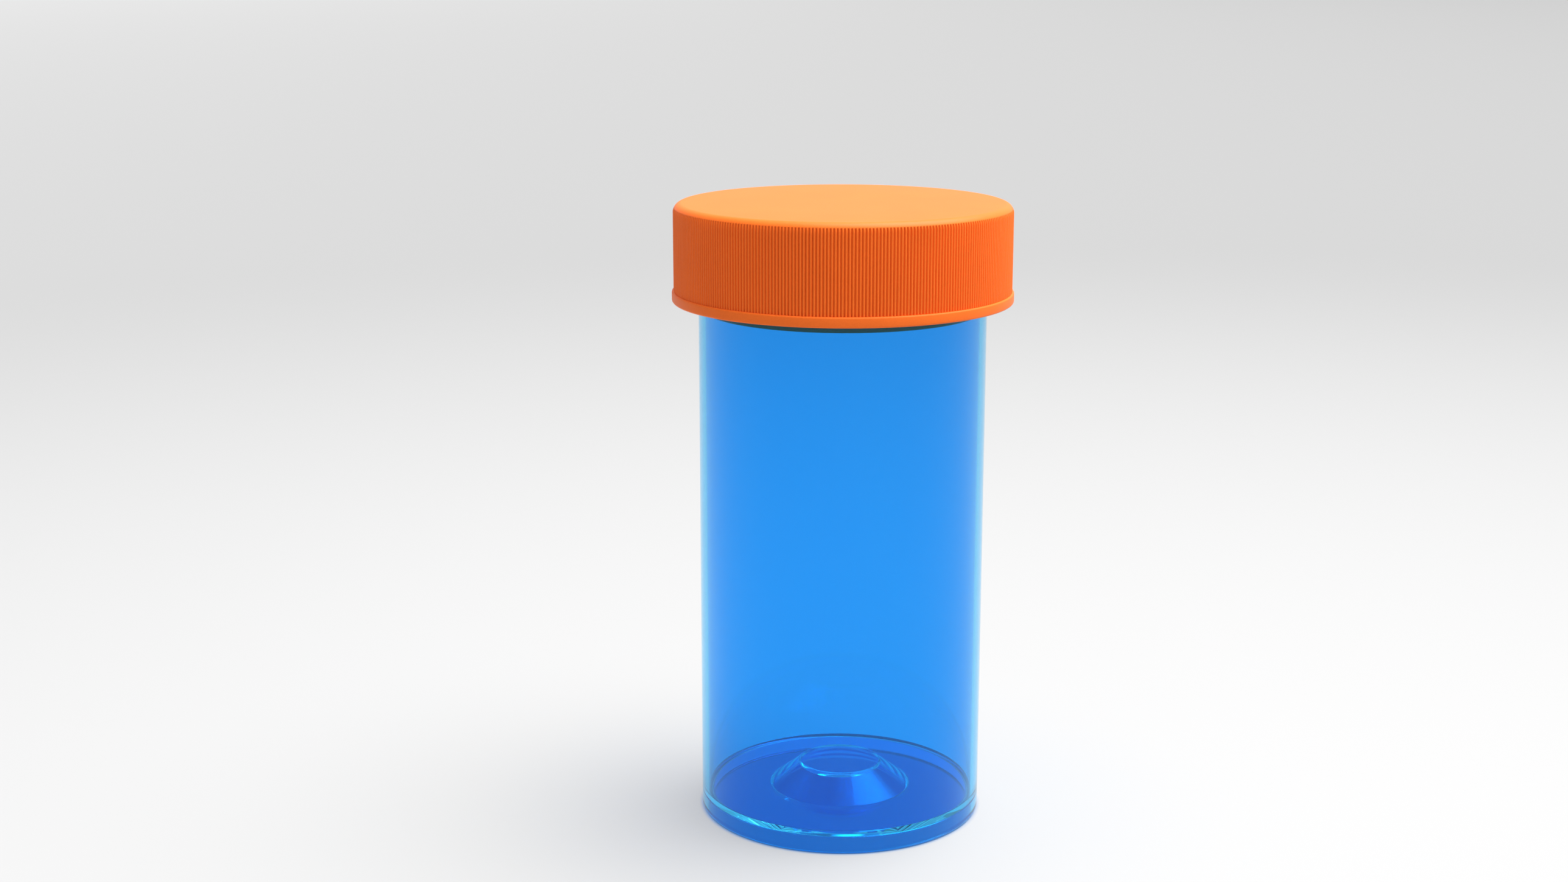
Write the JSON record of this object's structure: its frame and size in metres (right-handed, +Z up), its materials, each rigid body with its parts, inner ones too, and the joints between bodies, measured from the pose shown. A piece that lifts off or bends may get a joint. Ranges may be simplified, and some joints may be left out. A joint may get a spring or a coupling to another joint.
{
  "type": "prescription vial",
  "caption": "Transparent straight-walled pharmacy vial with a flat-topped hollow cone raised in its floor and a ribbed push-down-and-turn closure over bayonet lugs.",
  "frame": {"origin": "centre of the foot ring, on the surface that the vial stands on", "axes": "+Z up along the vial's axis from the foot to the cap's top; X and Y square to it, with the first gap between vial lugs centred 56.5 degrees from +X"},
  "size_m": [0.0502, 0.0502, 0.0929],
  "materials": {
    "vial_plastic": "transparent blue polypropylene, smooth moulded gloss",
    "closure_plastic": "opaque orange polypropylene, fine moulded satin",
    "spring_plastic": "natural polyethylene, matt"
  },
  "bodies": {
    "vial": {"vial_body": "vial_plastic"},
    "seal": {"plug_seal": "closure_plastic"},
    "spring": {"spring_disc": "spring_plastic"},
    "cap": {"cap_shell": "closure_plastic"}
  },
  "joints": [
    {"name": "closure_lift", "type": "slide", "parent": "vial", "child": "seal", "axis": [0, 0, 1], "range_m": [0, 0.055]},
    {"name": "cap_turn", "type": "hinge", "parent": "seal", "child": "spring", "pos_m": [0, 0, 0.08], "axis": [0, 0, 1], "range_deg": [-29, 0]},
    {"name": "cap_push", "type": "slide", "parent": "spring", "child": "cap", "axis": [0, 0, 1], "range_m": [0, 0.0013], "stiffness_N_per_m": 6000, "springref_m": 0.003, "deforming": ["spring_disc"]}
  ]
}
